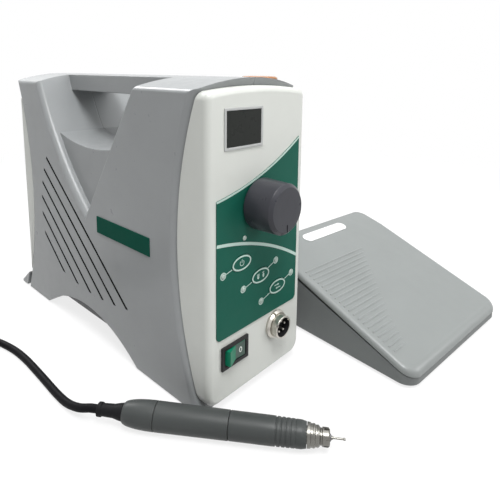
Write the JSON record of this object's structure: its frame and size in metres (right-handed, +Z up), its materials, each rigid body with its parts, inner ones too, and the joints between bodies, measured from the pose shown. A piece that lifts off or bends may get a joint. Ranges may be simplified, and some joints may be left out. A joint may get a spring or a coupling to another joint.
{
  "type": "dental micromotor",
  "caption": "Bench micromotor set: control unit with carrying handle, speed knob, keys and vents, a straight motor handpiece on a cord with a round plug, and a hinged wedge foot pedal",
  "frame": {"origin": "floor under the middle of the set's box, without the cord's pieces", "axes": "+X right as seen from the front, the unit's front faces -Y, +Z up"},
  "size_m": [0.4473, 0.4013, 0.228],
  "materials": {
    "casing_grey": "fine textured grey moulding",
    "bezel_white": "satin off-white moulding",
    "dark_plastic": "black moulded plastic",
    "tray_steel": "dark painted sheet steel",
    "overlay_green": "printed polyester film",
    "badge_green": "plain green plate without lettering",
    "trim_grey": "light grey trim",
    "screen": "dark tinted window",
    "circuit": "circuit board and modules",
    "knob_grey": "dark grey-blue moulding",
    "steel": "turned steel",
    "nickel": "nickel plate",
    "switch_green": "green rocker, lit when on",
    "contact": "plated contacts",
    "lamp": "clear lamp lenses",
    "supply_metal": "plain aluminium",
    "rubber_black": "black rubber",
    "amber": "amber-brown pad",
    "hand_grey": "grey coated aluminium",
    "copper_wound": "resin-set copper windings",
    "pedal_grey": "light grey moulding",
    "pedal_dark": "mid grey moulding",
    "badge_white": "plain white oval without lettering"
  },
  "bodies": {
    "unit": {"housing_left": "casing_grey", "housing_right": "casing_grey", "front_bezel": "bezel_white", "rear_panel": "bezel_white", "base_plate": "tray_steel", "front_overlay": "overlay_green", "display_trim": "trim_grey", "display_window": "screen", "display_module": "circuit", "pot_body": "steel", "switch_frame": "dark_plastic", "socket_shell": "nickel", "socket_nut": "nickel", "socket_insert": "dark_plastic", "socket_pins": "contact", "indicator_leds": "lamp", "control_board": "circuit", "power_supply": "supply_metal", "driver_board": "circuit", "heat_sink": "supply_metal", "mains_inlet": "dark_plastic", "fuse_holder": "dark_plastic", "pedal_socket": "nickel", "rubber_feet": "rubber_black", "housing_screws": "steel", "top_pad": "amber", "side_badges": "badge_green", "hand_rear_cap": "hand_grey", "hand_casing": "hand_grey", "nose_cone": "nickel", "stator": "copper_wound", "front_bearing": "steel", "rear_bearing": "steel", "strain_relief": "rubber_black", "motor_cord": "rubber_black", "cord_coil": "rubber_black", "cord_tie": "dark_plastic", "cord_plug": "nickel", "pedal_base": "pedal_dark", "pedal_pin": "steel", "pedal_spring": "steel", "pedal_sensor": "circuit", "pedal_feet": "rubber_black", "pedal_gland": "dark_plastic"},
    "knob": {"speed_knob": "knob_grey", "pot_shaft": "steel"},
    "rocker": {"power_rocker": "switch_green"},
    "left_key": {"key_left": "overlay_green"},
    "middle_key": {"key_middle": "overlay_green"},
    "right_key": {"key_right": "overlay_green"},
    "sleeve": {"grip_sleeve": "hand_grey"},
    "rotor": {"spindle": "steel", "rotor_magnet": "tray_steel"},
    "chuck": {"collet": "tray_steel", "tool_bit": "steel"},
    "treadle": {"pedal_treadle": "pedal_grey", "pedal_badge": "badge_white"},
    "plug_collar": {"plug_ring": "nickel"}
  },
  "joints": [
    {"name": "knob_turn", "type": "hinge", "parent": "unit", "child": "knob", "pos_m": [-0.077, -0.107, 0.141], "axis": [0, 1, 0], "range_deg": [0, 300]},
    {"name": "rocker_tilt", "type": "hinge", "parent": "unit", "child": "rocker", "pos_m": [-0.1015, -0.0958, 0.0392], "axis": [0, 0, -1], "range_deg": [0, 22]},
    {"name": "key_left_press", "type": "slide", "parent": "unit", "child": "left_key", "axis": [0, 1, 0], "range_m": [0, 0.0006], "stiffness_N_per_m": 800},
    {"name": "key_middle_press", "type": "slide", "parent": "unit", "child": "middle_key", "axis": [0, 1, 0], "range_m": [0, 0.0006], "stiffness_N_per_m": 800},
    {"name": "key_right_press", "type": "slide", "parent": "unit", "child": "right_key", "axis": [0, 1, 0], "range_m": [0, 0.0006], "stiffness_N_per_m": 800},
    {"name": "sleeve_twist", "type": "hinge", "parent": "unit", "child": "sleeve", "pos_m": [-0.165, -0.058, 0.009], "axis": [0.5592, -0.829, 0], "range_deg": [0, 60]},
    {"name": "spindle_spin", "type": "hinge", "parent": "unit", "child": "rotor", "pos_m": [-0.165, -0.058, 0.009], "axis": [0.5592, -0.829, 0], "continuous": true},
    {"name": "collet_release", "type": "slide", "parent": "rotor", "child": "chuck", "axis": [0.5592, -0.829, 0], "range_m": [0, 0.0012]},
    {"name": "pedal_press", "type": "hinge", "parent": "unit", "child": "treadle", "pos_m": [0.07548, -0.18069, 0.0096], "axis": [-0.9954, 0.0958, 0], "range_deg": [0, 1.5], "stiffness_Nm_per_rad": 20, "springref_deg": -3.44, "deforming": ["pedal_spring"]},
    {"name": "plug_turn", "type": "hinge", "parent": "unit", "child": "plug_collar", "pos_m": [-0.20052, 0.14701, 0.01015], "axis": [-0.2419, 0.9703, 0], "continuous": true}
  ],
  "couplings": [
    {"joint": "collet_release", "follows": "sleeve_twist", "m_per_rad": 0.0011459}
  ]
}
